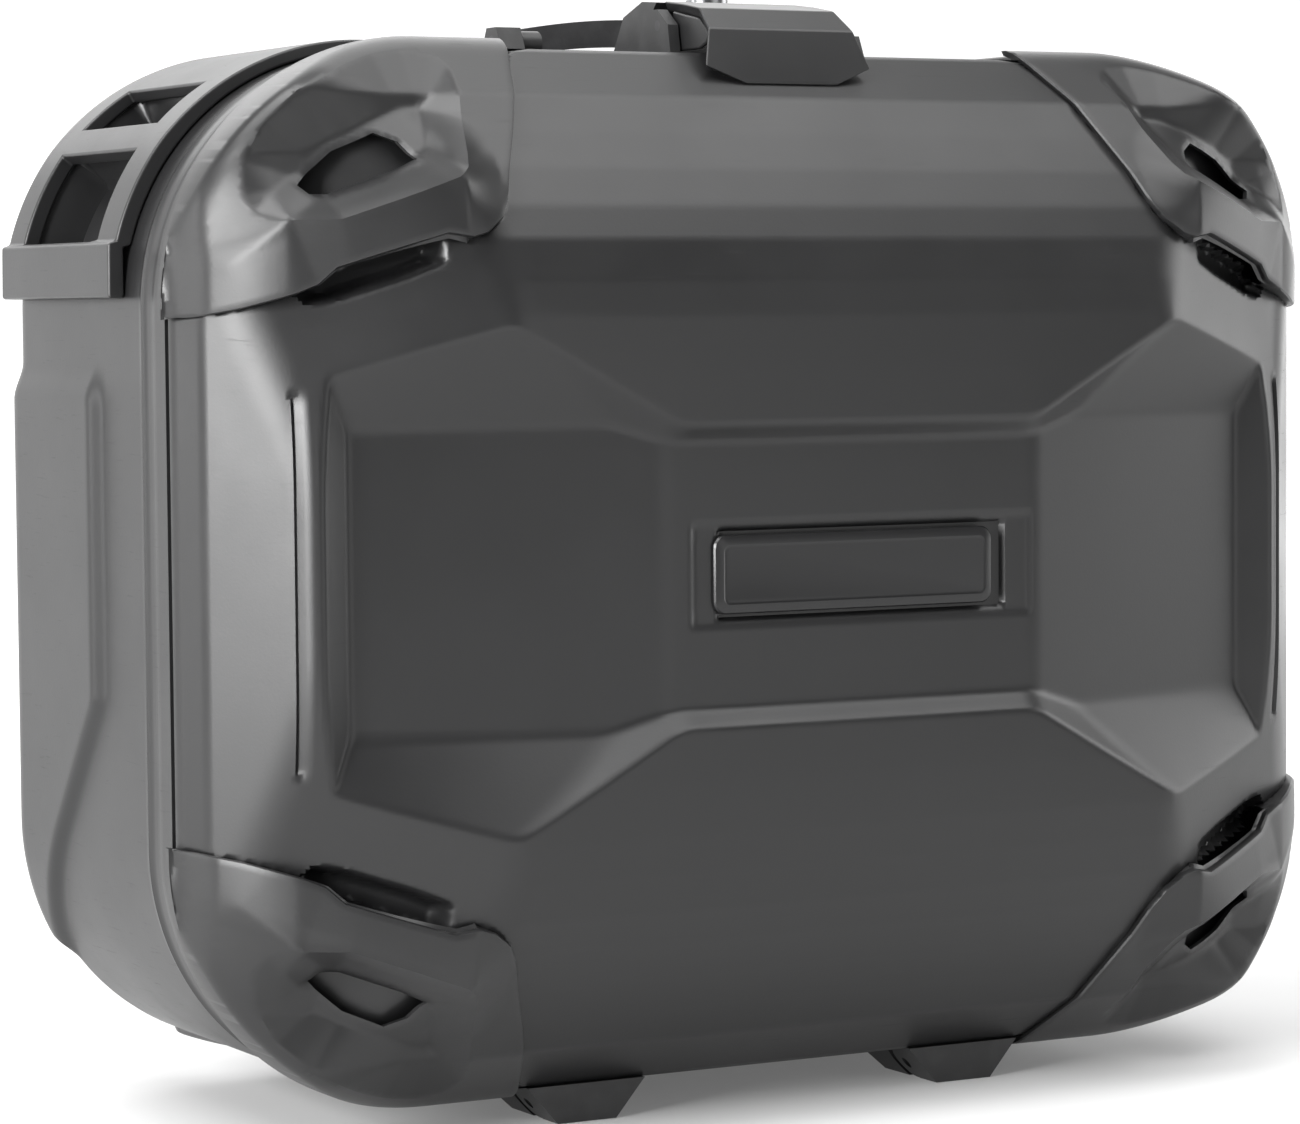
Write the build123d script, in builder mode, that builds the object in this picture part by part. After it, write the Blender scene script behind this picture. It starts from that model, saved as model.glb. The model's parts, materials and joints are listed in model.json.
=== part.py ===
from build123d import *
import os

# Hard motorcycle side case: hollow base, hinged lid, corner guards, latch, lock, handle and carrier mount.
# Frame: +Z up, lid towards -Y, X left to right. The origin is at the middle of the footprint, on the ground.
os.makedirs("parts", exist_ok=True)

# ---- driving dimensions, mm ----
HALF_WIDTH = 235.0          # shell rim, half of the case's length
HALF_HEIGHT = 186.7         # shell rim, half of the case's height
CORNER_R = 92.0             # corner radius of the rim
LID_DEPTH = 76.5            # seam to the front of the two proud faces
BASE_DEPTH = 148.0          # seam to the back wall
HOOK_PROUD = 14.0           # carrier hooks stand this far behind the back wall
HINGE_DROP = 14.0           # hinges hang this far below the shell
LID_WALL = 3.5
BASE_WALL = 4.0
SEAM_GAP = 1.0              # each rim stops this far from the seam plane
GUARD_PROUD = 4.0           # corner guards stand this far out of the shell
LUG_PROUD = 12.0            # lashing bars stand this far out of the lid's sloping faces
LUG_GAP = 8.5               # strap space under each lashing bar
RUN_CLEAR = 0.05            # radial clearance of a shaft in its hole

SEAM_Y = (LID_DEPTH - BASE_DEPTH - HOOK_PROUD) / 2
MID_Z = HALF_HEIGHT + HINGE_DROP
BACK_Y = SEAM_Y + BASE_DEPTH
SIDES = {"left": -1, "right": 1}
LEVELS = {"upper": 1, "lower": -1}

# half profiles of the lid: (distance from the middle, depth in front of the seam)
HEIGHT_PROFILE = [(54.0, LID_DEPTH), (91.0, 74.5), (118.0, 67.5), (143.3, 52.5), (169.3, 33.5),
                  (HALF_HEIGHT, 11.0)]
LENGTH_PROFILE = [(74.0, LID_DEPTH), (136.0, 75.0), (199.0, 49.0), (206.0, 45.0), (229.5, 18.0),
                  (HALF_WIDTH, 2.0)]
RIDGE_X, VALLEY_X, CREST_X = 80.0, 187.5, 199.0
PANEL_DEPTH, VALLEY_DEPTH, CREST_DEPTH = 69.0, 43.0, 49.0
DISH_HALF_HEIGHT = 54.0

# hinges under the seam
HINGE_X = 81.0
HINGE_TOP_HALF = 24.0
HINGE_FOOT_HALF = 12.0
LEAF_FRONT = 13.0
BLOCK_BACK = 36.0
PIVOT_Z = 6.2
KNUCKLE_R = 6.0
KNUCKLE_SWEEP_R = 8.8
BASE_KNUCKLE_HALF = 6.0
KNUCKLE_SIDE_GAP = 0.4
HINGE_PIN_R = 2.0

# latch over the top of the seam (y from the seam, z from mid-height)
LATCH_PIVOT = (14.0, 198.0)
LATCH_PIN_R = 2.0
LATCH_FACE = [(-19.0, 175.0), (19.0, 175.0), (35.0, 181.5), (28.7, 195.0), (27.0, 210.0),
              (-27.0, 210.0), (-28.7, 195.0), (-35.0, 181.5)]
EAR_INNER, EAR_OUTER = 29.2, 33.5
LATCH_SWEEP_R = 11.3
LOCK_Y = 36.0
LOCK_R = 8.0

# carry handle, folded back over the base
HANDLE_PIVOT = (60.0, 193.0)
HANDLE_LEG_INNER, HANDLE_LEG_OUTER = 60.0, 68.0
HANDLE_BACK = 104.0
GRIP_DEPTH = 13.0
HANDLE_PIN_R = 3.0

# carrier side
PLATE_HALF_WIDTH, PLATE_HALF_HEIGHT, PLATE_THICK = 120.0, 90.0, 3.0
BOLT_X, BOLT_Z, BOLT_R = 100.0, 70.0, 3.3
SHAFT_R = 6.0
HOOK_X, HOOK_Z = 152.0, 96.0


def front_plane(depth):
    """Plane parallel to the seam, `depth` in front of it, at mid-height: x right, y up."""
    return Plane(origin=(0, SEAM_Y - depth, MID_Z), x_dir=(1, 0, 0), z_dir=(0, -1, 0))


def side_plane(x):
    """Upright plane across the case at x: its x is distance behind the seam, its y is height."""
    return Plane(origin=(x, SEAM_Y, MID_Z), x_dir=(0, 1, 0), z_dir=(1, 0, 0))


def top_plane(height):
    """Level plane at a height above mid-height: its x is along the case, its y is distance behind the seam."""
    return Plane(origin=(0, SEAM_Y, MID_Z + height), x_dir=(1, 0, 0), z_dir=(0, 0, 1))


def closed_half_profile(half, foot):
    """Mirror a half profile and close it at depth `foot`."""
    edge = half[-1][0]
    right = [(edge, foot)] + half[::-1]
    return right + [(-a, d) for a, d in half] + [(-edge, foot)]


def lid_block(rim_grow, face_grow):
    """Solid of the lid's outer form, grown by rim_grow round the rim and face_grow over the faces."""
    with BuildPart() as block:
        with BuildSketch(front_plane(SEAM_GAP)):
            RectangleRounded(2 * (HALF_WIDTH + rim_grow), 2 * (HALF_HEIGHT + rim_grow), CORNER_R + rim_grow)
        extrude(amount=LID_DEPTH + 30)
        with BuildSketch(side_plane(-HALF_WIDTH - 30)):
            Polygon(*[(-d, z) for z, d in closed_half_profile(HEIGHT_PROFILE, -30)], align=None)
            offset(amount=face_grow, kind=Kind.INTERSECTION)
        extrude(amount=2 * HALF_WIDTH + 60, mode=Mode.INTERSECT)
        with BuildSketch(top_plane(-HALF_HEIGHT - 30)):
            Polygon(*[(x, -d) for x, d in closed_half_profile(LENGTH_PROFILE, -30)], align=None)
            offset(amount=face_grow, kind=Kind.INTERSECTION)
        extrude(amount=2 * HALF_HEIGHT + 60, mode=Mode.INTERSECT)
    return block.part


def dish_block(drop, half_height):
    """Solid above the recessed middle and side panels, lowered by drop."""
    with BuildPart() as block:
        with BuildSketch(top_plane(-half_height)):
            Polygon(
                (-CREST_X - drop, -LID_DEPTH - 20), (-CREST_X - drop, drop - CREST_DEPTH),
                (-VALLEY_X, drop - VALLEY_DEPTH), (-RIDGE_X, drop - PANEL_DEPTH),
                (RIDGE_X, drop - PANEL_DEPTH), (VALLEY_X, drop - VALLEY_DEPTH),
                (CREST_X + drop, drop - CREST_DEPTH), (CREST_X + drop, -LID_DEPTH - 20), align=None)
        extrude(amount=2 * half_height)
    return block.part


def pivot_rod(x_from, x_to, y_back, height, radius):
    """Rod along X at a distance behind the seam and a height above mid-height."""
    with BuildPart() as rod:
        with BuildSketch(side_plane(x_from)):
            with Locations((y_back, height)):
                Circle(radius)
        extrude(amount=x_to - x_from)
    return rod.part


def upright_rods(points, height, length, radius):
    """Upright rods at (x, y behind the seam) points, rising from a height above mid-height."""
    with BuildPart() as rods:
        with BuildSketch(top_plane(height)):
            with Locations(*points):
                Circle(radius)
        extrude(amount=length)
    return rods.part


def upright_screws(points, tip, head_base, shank_r=2.0, head_r=4.0, head_height=2.4):
    """Screws along Z; a negative direction from tip to head_base turns them over."""
    with BuildPart() as screws:
        add(upright_rods(points, min(tip, head_base), abs(head_base - tip), shank_r))
        head_low = head_base if head_base > tip else head_base - head_height
        add(upright_rods(points, head_low, head_height, head_r))
    return screws.part


def save(part, name):
    """Label a finished piece and write it."""
    part.label = name
    export_step(part, f"parts/{name}.step")


HINGE_PIVOT_H = PIVOT_Z - MID_Z
SHELL_FLOOR_H = -HALF_HEIGHT
LEAF_SCREWS = [(s * HINGE_X + dx, -5.5) for s in SIDES.values() for dx in (-8.0, 8.0)]
BLOCK_SCREWS = [(s * HINGE_X + dx, 22.0) for s in SIDES.values() for dx in (-8.0, 8.0)]
HOUSING_SCREWS = [(-20.0, 39.0), (20.0, 39.0)]
BRACKET_SCREWS = [(s * 74.0, 60.0 + dy) for s in SIDES.values() for dy in (-11.0, 11.0)]
FOOT_SCREW = [(0.0, 115.0)]
LID_FLOOR_H = -HALF_HEIGHT + LID_WALL
BASE_FLOOR_H = -HALF_HEIGHT + BASE_WALL
BASE_ROOF_H = HALF_HEIGHT - BASE_WALL


def latch_pocket(grow):
    """Room for the latch plate in the lid's top edge, grown all round."""
    with BuildPart() as pocket:
        with BuildSketch(side_plane(-60)):
            Polygon((-40.0, 172.8), (-22.6, 172.8), (-15.0, 181.0), (2.0, 181.0), (2.0, 230.0), (-40.0, 230.0),
                    align=None)
            offset(amount=grow, kind=Kind.INTERSECTION)
        extrude(amount=120)
        with BuildSketch(front_plane(-20)):
            Polygon(*LATCH_FACE, align=None)
            offset(amount=1.2 + grow, kind=Kind.INTERSECTION)
        extrude(amount=90, mode=Mode.INTERSECT)
    return pocket.part


# ---- base shell: tub open towards the lid ----
with BuildPart() as base_cavity:
    with BuildSketch(front_plane(-SEAM_GAP)):
        RectangleRounded(2 * (HALF_WIDTH - BASE_WALL), 2 * (HALF_HEIGHT - BASE_WALL), CORNER_R - BASE_WALL)
    extrude(amount=-(BASE_DEPTH - SEAM_GAP - BASE_WALL))
    fillet(base_cavity.edges().group_by(Axis.Y)[-1], radius=6)
with BuildPart() as base_shell:
    with BuildSketch(front_plane(-SEAM_GAP)):
        RectangleRounded(2 * HALF_WIDTH, 2 * HALF_HEIGHT, CORNER_R)
    extrude(amount=-(BASE_DEPTH - SEAM_GAP))
    fillet(base_shell.edges().group_by(Axis.Y)[-1], radius=8)
    add(base_cavity.part, mode=Mode.SUBTRACT)
    with BuildSketch(Plane.XZ.offset(-BACK_Y - 1)):
        with Locations((0, MID_Z)):
            with GridLocations(2 * BOLT_X, 2 * BOLT_Z, 2, 2):
                Circle(BOLT_R)
            Circle(SHAFT_R + 3)
    extrude(amount=BASE_WALL + 2, mode=Mode.SUBTRACT)
    add(upright_rods(BLOCK_SCREWS + FOOT_SCREW, SHELL_FLOOR_H - 1, BASE_WALL + 2, 2.0), mode=Mode.SUBTRACT)
    add(upright_rods(HOUSING_SCREWS + BRACKET_SCREWS, BASE_ROOF_H - 1, BASE_WALL + 2, 2.0), mode=Mode.SUBTRACT)
save(base_shell.part, "base_shell")

# ---- rubber seal on the base's rim ----
with BuildPart() as rim_seal:
    with BuildSketch(front_plane(-SEAM_GAP)):
        RectangleRounded(2 * (HALF_WIDTH - 0.8), 2 * (HALF_HEIGHT - 0.8), CORNER_R - 0.8)
        RectangleRounded(2 * (HALF_WIDTH - 3.6), 2 * (HALF_HEIGHT - 3.6), CORNER_R - 3.6, mode=Mode.SUBTRACT)
    extrude(amount=2 * SEAM_GAP - 0.3)
save(rim_seal.part, "rim_seal")

# ---- lid shell: proud upper and lower faces, recessed middle, dished side panels ----
with BuildPart() as lid_cavity:
    add(lid_block(-LID_WALL, -LID_WALL))
    add(dish_block(LID_WALL, DISH_HALF_HEIGHT + LID_WALL), mode=Mode.SUBTRACT)
    add(latch_pocket(LID_WALL), mode=Mode.SUBTRACT)
BADGE_HALF, BADGE_TALL, BADGE_THICK, BADGE_SUNK = 58.0, 28.0, 3.0, 1.5
with BuildPart() as lid_shell:
    add(lid_block(0, 0))
    add(dish_block(0, DISH_HALF_HEIGHT), mode=Mode.SUBTRACT)
    add(lid_cavity.part, mode=Mode.SUBTRACT)
    add(latch_pocket(0), mode=Mode.SUBTRACT)
    with BuildSketch(front_plane(PANEL_DEPTH)):
        with Locations((4.5, 0)):
            RectangleRounded(143, BADGE_TALL + 6, 4)
    extrude(amount=-BADGE_SUNK, mode=Mode.SUBTRACT)
    add(upright_rods(LEAF_SCREWS, SHELL_FLOOR_H - 1, LID_WALL + 2, 2.0), mode=Mode.SUBTRACT)
save(lid_shell.part, "lid_shell")

# ---- blank badge plate ----
with BuildPart() as badge_plate:
    with BuildSketch(front_plane(PANEL_DEPTH - BADGE_SUNK)):
        RectangleRounded(2 * BADGE_HALF, BADGE_TALL, 5)
    extrude(amount=BADGE_THICK)
    chamfer(badge_plate.faces().sort_by(Axis.Y)[0].edges(), length=1.2)
save(badge_plate.part, "badge_plate")


# ---- four lid corner guards, each with a lashing bar ----
GUARD_OUTLINE = [(104.0, 200.0), (109.0, 187.0), (118.0, 169.0), (129.6, 143.0), (137.7, 125.0), (149.4, 117.5),
                 (186.0, 105.0), (240.0, 91.0), (260.0, 91.0), (260.0, 200.0)]
BAR_OUTLINE = [(149.4, 117.5), (186.0, 105.0), (240.0, 91.0), (250.0, 91.0), (250.0, 118.0), (190.0, 126.0),
               (158.0, 138.0), (146.0, 124.0)]
STRAP_OUTLINE = [(152.0, 112.0), (186.0, 100.0), (214.0, 92.0), (221.0, 122.0), (214.0, 142.0), (168.0, 156.0)]


def guard_band(thick, grow_rim):
    """Skin over the lid's outside, thick above its faces and grow_rim beyond its rim."""
    with BuildPart() as band:
        add(lid_block(grow_rim, thick))
        with BuildSketch(front_plane(4.0)):
            Rectangle(600, 600)
        extrude(amount=120, mode=Mode.INTERSECT)
        add(lid_block(0, 0), mode=Mode.SUBTRACT)
    return band.part


def corner_points(points, out, up):
    """Mirror an outline into one corner."""
    return [(out * x, up * z) for x, z in points]


guard_skin = guard_band(GUARD_PROUD, GUARD_PROUD)
lug_skin = guard_band(LUG_PROUD, GUARD_PROUD)
strap_space = lid_block(-9.0, LUG_GAP)
for level, up in LEVELS.items():
    for side, out in SIDES.items():
        with BuildPart() as lashing_bar:
            with BuildSketch(front_plane(0)):
                Polygon(*corner_points(BAR_OUTLINE, out, up), align=None)
            extrude(amount=LID_DEPTH)
            add(lug_skin, mode=Mode.INTERSECT)
        with BuildPart() as strap_slot:
            with BuildSketch(front_plane(0)):
                Polygon(*corner_points(STRAP_OUTLINE, out, up), align=None)
            extrude(amount=120)
            add(strap_space, mode=Mode.INTERSECT)
        with BuildPart() as corner_guard:
            with BuildSketch(front_plane(0)):
                Polygon(*corner_points(GUARD_OUTLINE, out, up), align=None)
            extrude(amount=LID_DEPTH)
            add(guard_skin, mode=Mode.INTERSECT)
            add(lashing_bar.part)
            add(strap_slot.part, mode=Mode.SUBTRACT)
        save(corner_guard.part, f"{level}_{side}_corner_guard")

# ---- base corner guards, each with a tall window and a narrow one round the corner ----
REAR_GUARD_FRONT, REAR_GUARD_BACK = 38.0, 146.0
REAR_GUARD_PROUD = 5.0
REAR_GUARD_FOOT = 99.0
WINDOW_MIDDLE, WINDOW_LONG = 93.5, 73.0     # middle behind the seam, and length
for side, out in SIDES.items():
    with BuildPart() as base_guard:
        with BuildSketch(front_plane(-REAR_GUARD_FRONT)):
            RectangleRounded(2 * (HALF_WIDTH + REAR_GUARD_PROUD), 2 * (HALF_HEIGHT + REAR_GUARD_PROUD),
                             CORNER_R + REAR_GUARD_PROUD)
            RectangleRounded(2 * HALF_WIDTH, 2 * HALF_HEIGHT, CORNER_R, mode=Mode.SUBTRACT)
            Polygon((out * 140, REAR_GUARD_FOOT), (out * 300, REAR_GUARD_FOOT), (out * 300, 300), (out * 140, 300),
                    align=None, mode=Mode.INTERSECT)
        extrude(amount=-(REAR_GUARD_BACK - REAR_GUARD_FRONT))
        with BuildSketch(side_plane(out * 190)):
            with Locations((WINDOW_MIDDLE, 133.5)):
                RectangleRounded(WINDOW_LONG, 33, 4)
            with Locations((WINDOW_MIDDLE, 164.5)):
                RectangleRounded(WINDOW_LONG, 13, 3)
        extrude(amount=out * 60, mode=Mode.SUBTRACT)
    save(base_guard.part, f"{side}_base_guard")

# ---- hinges: leaves on the lid, blocks on the base, one pin each ----
LEAF_TOP_H = SHELL_FLOOR_H
FOOT_H = -MID_Z


def hinge_outline(centre):
    """Front outline of a hinge: wide at the shell, narrow at the ground."""
    return [(centre - HINGE_TOP_HALF, LEAF_TOP_H), (centre + HINGE_TOP_HALF, LEAF_TOP_H),
            (centre + HINGE_FOOT_HALF, FOOT_H), (centre - HINGE_FOOT_HALF, FOOT_H)]


def hinge_zone(centre, inner, outer, radius):
    """Rods about the pivot covering inner < |x - centre| < outer."""
    with BuildPart() as zone:
        add(pivot_rod(centre - outer, centre + outer, 0, HINGE_PIVOT_H, radius))
        if inner > 0:
            with BuildSketch(front_plane(40)):
                with Locations((centre, HINGE_PIVOT_H)):
                    Rectangle(2 * inner, 80)
            extrude(amount=-80, mode=Mode.SUBTRACT)
    return zone.part


for side, out in SIDES.items():
    centre = out * HINGE_X
    bore = pivot_rod(centre - 40, centre + 40, 0, HINGE_PIVOT_H, HINGE_PIN_R + RUN_CLEAR)
    lid_zone_inner = BASE_KNUCKLE_HALF + KNUCKLE_SIDE_GAP

    with BuildPart() as hinge_leaf:
        with BuildSketch(side_plane(centre - HINGE_TOP_HALF)):
            Polygon((-LEAF_FRONT, LEAF_TOP_H), (-LEAF_FRONT, FOOT_H), (0, FOOT_H), (0, LEAF_TOP_H), align=None)
            with Locations((0, (LEAF_TOP_H + FOOT_H) / 2)):
                Rectangle(2 * SEAM_GAP, 2 * HINGE_DROP, mode=Mode.SUBTRACT)
        extrude(amount=2 * HINGE_TOP_HALF)
        add(hinge_zone(centre, lid_zone_inner, HINGE_TOP_HALF, KNUCKLE_R))
        add(hinge_zone(centre, 0, lid_zone_inner, KNUCKLE_SWEEP_R), mode=Mode.SUBTRACT)
        with BuildSketch(front_plane(40)):
            Polygon(*hinge_outline(centre), align=None)
        extrude(amount=-80, mode=Mode.INTERSECT)
        add(bore, mode=Mode.SUBTRACT)
        leaf_holes = [p for p in LEAF_SCREWS if p[0] * out > 0]
        add(upright_rods(leaf_holes, LEAF_TOP_H - 5, 6, 2.0), mode=Mode.SUBTRACT)
    save(hinge_leaf.part, f"{side}_hinge_leaf")

    with BuildPart() as hinge_block:
        with BuildSketch(side_plane(centre - HINGE_TOP_HALF)):
            Polygon((SEAM_GAP, LEAF_TOP_H), (BLOCK_BACK, LEAF_TOP_H), (BLOCK_BACK - 12, FOOT_H),
                    (SEAM_GAP, FOOT_H), align=None)
        extrude(amount=2 * HINGE_TOP_HALF)
        add(pivot_rod(centre - 40, centre + 40, 0, HINGE_PIVOT_H, KNUCKLE_SWEEP_R), mode=Mode.SUBTRACT)
        with BuildSketch(side_plane(centre - BASE_KNUCKLE_HALF)):
            with Locations((0, HINGE_PIVOT_H)):
                Circle(KNUCKLE_R)
            Polygon((0, FOOT_H + 1), (KNUCKLE_SWEEP_R + 2, FOOT_H + 1), (KNUCKLE_SWEEP_R + 2, LEAF_TOP_H - 2),
                    (0, LEAF_TOP_H - 2), align=None)
        extrude(amount=2 * BASE_KNUCKLE_HALF)
        with BuildSketch(front_plane(40)):
            Polygon(*hinge_outline(centre), align=None)
        extrude(amount=-120, mode=Mode.INTERSECT)
        add(bore, mode=Mode.SUBTRACT)
        block_holes = [p for p in BLOCK_SCREWS if p[0] * out > 0]
        add(upright_rods(block_holes, LEAF_TOP_H - 8, 9, 2.0), mode=Mode.SUBTRACT)
    save(hinge_block.part, f"{side}_hinge_block")

with BuildPart() as hinge_pins:
    for out in SIDES.values():
        add(pivot_rod(out * HINGE_X - 15, out * HINGE_X + 15, 0, HINGE_PIVOT_H, HINGE_PIN_R))
save(hinge_pins.part, "hinge_pins")
save(upright_screws(LEAF_SCREWS, LEAF_TOP_H - 5, LID_FLOOR_H), "hinge_leaf_screws")
save(upright_screws(BLOCK_SCREWS, LEAF_TOP_H - 8, BASE_FLOOR_H), "hinge_block_screws")

# ---- rear rubber foot, level with the hinges ----
with BuildPart() as rear_foot:
    with BuildSketch(top_plane(FOOT_H)):
        with Locations((0, 115)):
            RectangleRounded(24, 22, 5)
    extrude(amount=HINGE_DROP, taper=-6)
    add(upright_rods(FOOT_SCREW, SHELL_FLOOR_H - 8, 9, 2.0), mode=Mode.SUBTRACT)
save(rear_foot.part, "rear_foot")
save(upright_screws(FOOT_SCREW, SHELL_FLOOR_H - 8, BASE_FLOOR_H), "rear_foot_screw")

# ---- latch: housing on the base, lever over the seam, hook and catch ----
with BuildPart() as latch_housing:
    with BuildSketch(side_plane(-30)):
        Polygon((19, HALF_HEIGHT), (20, 207), (32, 208), (47, 203), (56, 189), (56, HALF_HEIGHT), align=None)
    extrude(amount=60)
    add(pivot_rod(-40, 40, *LATCH_PIVOT, LATCH_SWEEP_R), mode=Mode.SUBTRACT)
    with BuildSketch(side_plane(-26)):
        Polygon((27, HALF_HEIGHT), (27, 200), (46, 200), (52, 190), (52, HALF_HEIGHT), align=None)
    extrude(amount=52, mode=Mode.SUBTRACT)
    for ear_start in (-EAR_OUTER, EAR_INNER):
        with BuildSketch(side_plane(ear_start)):
            Polygon((4, HALF_HEIGHT), (6, 198), (14, 204), (24, 204), (30, HALF_HEIGHT), align=None)
        extrude(amount=EAR_OUTER - EAR_INNER)
    for post_x, post_y in HOUSING_SCREWS:
        with BuildSketch(top_plane(HALF_HEIGHT)):
            with Locations((post_x, post_y)):
                Circle(4.5)
        extrude(amount=15.5)
    add(pivot_rod(-40, 40, *LATCH_PIVOT, LATCH_PIN_R), mode=Mode.SUBTRACT)
    add(upright_rods([(0, LOCK_Y)], 196, 20, LOCK_R + RUN_CLEAR), mode=Mode.SUBTRACT)
    add(upright_rods(HOUSING_SCREWS, HALF_HEIGHT - 1, 8, 2.0), mode=Mode.SUBTRACT)
save(latch_housing.part, "latch_housing")
save(upright_screws(HOUSING_SCREWS, HALF_HEIGHT + 6, BASE_ROOF_H), "latch_housing_screws")
save(pivot_rod(-EAR_OUTER, EAR_OUTER, *LATCH_PIVOT, LATCH_PIN_R), "latch_pin")

HOOK_HALF = 9.0
with BuildPart() as latch_hook:
    with BuildSketch(side_plane(-HOOK_HALF)):
        Polygon((-6.4, 198.9), (-14.0, 193.6), (-13.6, 185.6), (-11.6, 184.4), (-11.6, 182.6), (-16.4, 182.6),
                (-17.4, 192.7), (-7.2, 200.5), align=None)
    extrude(amount=2 * HOOK_HALF)
save(latch_hook.part, "latch_hook")

with BuildPart() as latch_lever:
    with BuildSketch(side_plane(-40)):
        Polygon((-27.0, 175.0), (-19.4, 195.0), (-9.0, 203.0), (18.5, 207.4), (19.0, 203.5), (-6.0, 199.0),
                (-14.5, 193.0), (-22.5, 174.4), align=None)
    extrude(amount=80)
    with BuildSketch(side_plane(-28.6)):
        with Locations(LATCH_PIVOT):
            Circle(5)
        Polygon((10.5, 199.0), (10.0, 204.0), (18.5, 206.0), (18.2, 200.0), align=None)
    extrude(amount=57.2)
    with BuildSketch(front_plane(60)):
        Polygon(*LATCH_FACE, align=None)
    extrude(amount=-110, mode=Mode.INTERSECT)
    add(pivot_rod(-40, 40, *LATCH_PIVOT, LATCH_PIN_R + RUN_CLEAR), mode=Mode.SUBTRACT)
    add(latch_hook.part, mode=Mode.SUBTRACT)
save(latch_lever.part, "latch_lever")

with BuildPart() as latch_catch:
    with BuildSketch(side_plane(-13)):
        Polygon((-10.8, 181.0), (-10.8, 187.4), (-8.6, 187.4), (-8.6, 183.0), (-2.0, 183.0), (-2.0, 181.0),
                align=None)
    extrude(amount=26)
save(latch_catch.part, "latch_catch")

# ---- key lock in the housing ----
with BuildPart() as lock_barrel:
    add(upright_rods([(0, LOCK_Y)], 195.5, 14, LOCK_R))
    with BuildSketch(top_plane(209.5)):
        with Locations((0, LOCK_Y)):
            Rectangle(8, 1.6)
    extrude(amount=-5, mode=Mode.SUBTRACT)
save(lock_barrel.part, "lock_barrel")
with BuildPart() as lock_cam:
    with BuildSketch(top_plane(192.5)):
        with Locations((0, LOCK_Y)):
            Circle(6)
        with Locations((0, LOCK_Y - 3.5)):
            Rectangle(7, 9)
    extrude(amount=3)
save(lock_cam.part, "lock_cam")

# ---- carry handle: bail folded back, arched grip, brackets and pins ----
BRACKET_INNER, BRACKET_OUTER = 68.8, 79.0
for side, out in SIDES.items():
    with BuildPart() as handle_bracket:
        with BuildSketch(side_plane(out * BRACKET_INNER)):
            Polygon((43, HALF_HEIGHT), (43, 189.2), (52, 190.5), (56, 199), (64, 199), (68, 190.5), (77, 189.2),
                    (77, HALF_HEIGHT), align=None)
        extrude(amount=out * (BRACKET_OUTER - BRACKET_INNER))
        add(pivot_rod(-90, 90, *HANDLE_PIVOT, HANDLE_PIN_R), mode=Mode.SUBTRACT)
        bracket_holes = [p for p in BRACKET_SCREWS if p[0] * out > 0]
        add(upright_rods(bracket_holes, HALF_HEIGHT - 1, 3.0, 2.0), mode=Mode.SUBTRACT)
    save(handle_bracket.part, f"{side}_handle_bracket")
save(upright_screws(BRACKET_SCREWS, HALF_HEIGHT + 2.0, BASE_ROOF_H), "handle_bracket_screws")
with BuildPart() as handle_pins:
    for x_from, x_to in ((-BRACKET_OUTER, -HANDLE_LEG_INNER), (HANDLE_LEG_INNER, BRACKET_OUTER)):
        add(pivot_rod(x_from, x_to, *HANDLE_PIVOT, HANDLE_PIN_R))
save(handle_pins.part, "handle_pins")

with BuildPart() as handle_bail:
    for x_from in (-HANDLE_LEG_OUTER, HANDLE_LEG_INNER):
        with BuildSketch(side_plane(x_from)):
            with Locations(HANDLE_PIVOT):
                Circle(5)
            Polygon((60, 188.6), (HANDLE_BACK - 1, 188.6), (HANDLE_BACK - 1, 196.4), (60, 197.4), align=None)
        extrude(amount=HANDLE_LEG_OUTER - HANDLE_LEG_INNER)
    with BuildSketch(front_plane(-(HANDLE_BACK - GRIP_DEPTH + 1.5))):
        with BuildLine():
            ThreePointArc((-64, 196.0), (0, 203.0), (64, 196.0))
            Line((64, 196.0), (64, 189.0))
            ThreePointArc((64, 189.0), (0, 198.2), (-64, 189.0))
            Line((-64, 189.0), (-64, 196.0))
        make_face()
    extrude(amount=-(GRIP_DEPTH - 3))
    add(pivot_rod(-90, 90, *HANDLE_PIVOT, HANDLE_PIN_R + RUN_CLEAR), mode=Mode.SUBTRACT)
save(handle_bail.part, "handle_bail")

with BuildPart() as handle_grip:
    with BuildSketch(front_plane(-(HANDLE_BACK - GRIP_DEPTH))):
        with BuildLine():
            ThreePointArc((-52, 200.6), (0, 205.5), (52, 200.6))
            Line((52, 200.6), (52, 190.0))
            ThreePointArc((52, 190.0), (0, 195.6), (-52, 190.0))
            Line((-52, 190.0), (-52, 200.6))
        make_face()
    extrude(amount=-GRIP_DEPTH)
    add(handle_bail.part, mode=Mode.SUBTRACT)
save(handle_grip.part, "handle_grip")

# ---- carrier side: plate, upper hooks, rotary claw with an inside knob ----
with BuildPart() as carrier_plate:
    with BuildSketch(Plane.XZ.offset(-BACK_Y)):
        with Locations((0, MID_Z)):
            RectangleRounded(2 * PLATE_HALF_WIDTH, 2 * PLATE_HALF_HEIGHT, 14)
            with GridLocations(2 * BOLT_X, 2 * BOLT_Z, 2, 2):
                Circle(BOLT_R, mode=Mode.SUBTRACT)
            Circle(SHAFT_R + 3, mode=Mode.SUBTRACT)
    extrude(amount=-PLATE_THICK)
save(carrier_plate.part, "carrier_plate")

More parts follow.
